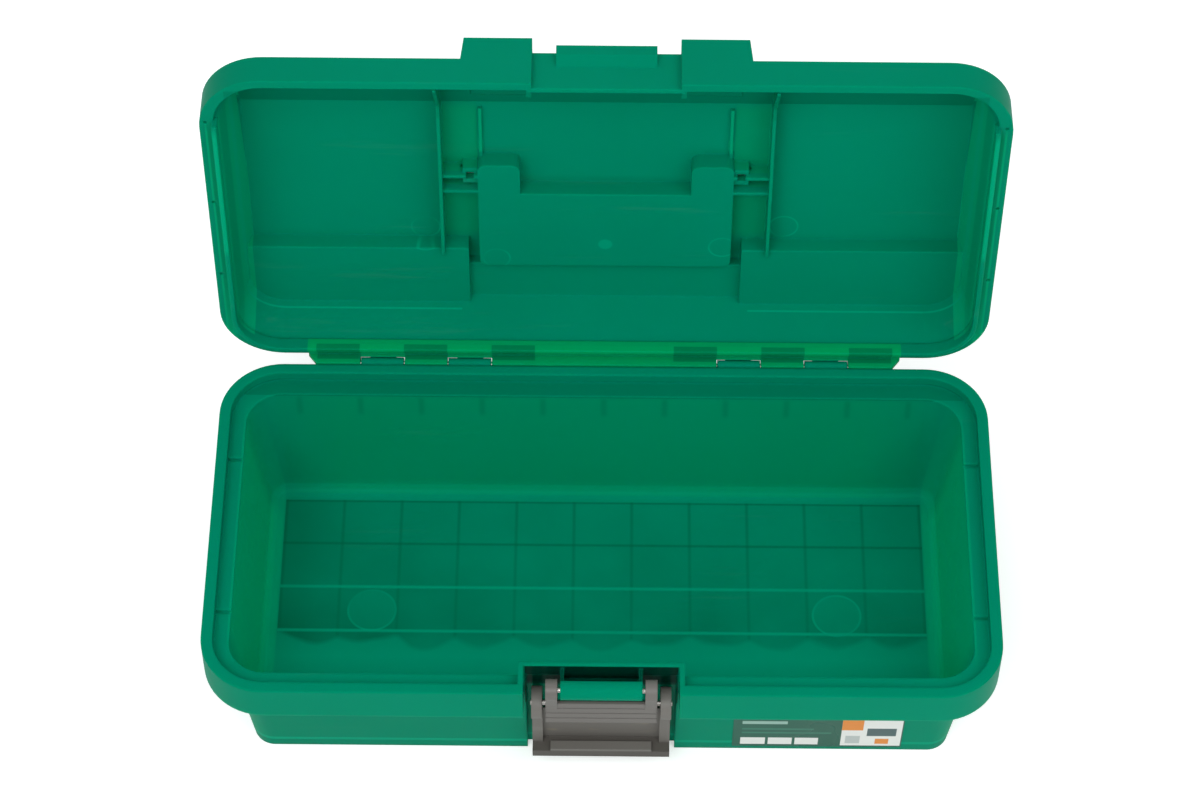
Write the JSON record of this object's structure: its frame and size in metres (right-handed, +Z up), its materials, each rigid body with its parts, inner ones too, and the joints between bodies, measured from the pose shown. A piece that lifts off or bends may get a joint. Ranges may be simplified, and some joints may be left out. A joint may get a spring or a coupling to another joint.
{
  "type": "tool box",
  "caption": "Plastic carrying box with an open hinged lid, draw latch and a handle folded into the lid.",
  "frame": {"origin": "middle of the face that the base rests on", "axes": "+X to the right along the hinge, +Y to the back towards the hinge, +Z up; the latch is at the front"},
  "size_m": [0.35, 0.2246, 0.2526],
  "materials": {
    "green_plastic": "satin",
    "grey_plastic": "satin",
    "steel": "brushed",
    "label_paper": "satin"
  },
  "bodies": {
    "base": {"base_tray": "green_plastic", "hinge_pin_left": "steel", "hinge_pin_right": "steel", "label": "label_paper"},
    "lid_body": {"lid": "green_plastic", "handle_pin_left": "steel", "handle_pin_right": "steel"},
    "handle_body": {"carry_handle": "grey_plastic"},
    "lever_body": {"latch_lever": "grey_plastic", "lever_pin": "steel"},
    "pin_body": {"bail_pin": "steel"},
    "bail_body": {"latch_bail": "grey_plastic"}
  },
  "joints": [
    {"name": "lid_hinge", "type": "hinge", "parent": "base", "child": "lid_body", "pos_m": [0, 0.0912, 0.074], "axis": [1, 0, 0], "range_deg": [0, 94]},
    {"name": "handle_fold", "type": "hinge", "parent": "lid_body", "child": "handle_body", "pos_m": [0, 0.12915, 0.16939], "axis": [1, 0, 0], "range_deg": [0, 90]},
    {"name": "lever_turn", "type": "hinge", "parent": "base", "child": "lever_body", "pos_m": [0, -0.0829, 0.072], "axis": [-1, 0, 0], "range_deg": [0, 95]},
    {"name": "pin_turn", "type": "hinge", "parent": "lever_body", "child": "pin_body", "pos_m": [0, -0.0814, 0.0594], "axis": [-1, 0, 0], "range_deg": [-95, 0]},
    {"name": "bail_turn", "type": "hinge", "parent": "pin_body", "child": "bail_body", "pos_m": [0, -0.0814, 0.0594], "axis": [-1, 0, 0], "range_deg": [0, 180]}
  ],
  "couplings": [
    {"joint": "pin_turn", "follows": "lever_turn", "ratio": -1}
  ]
}
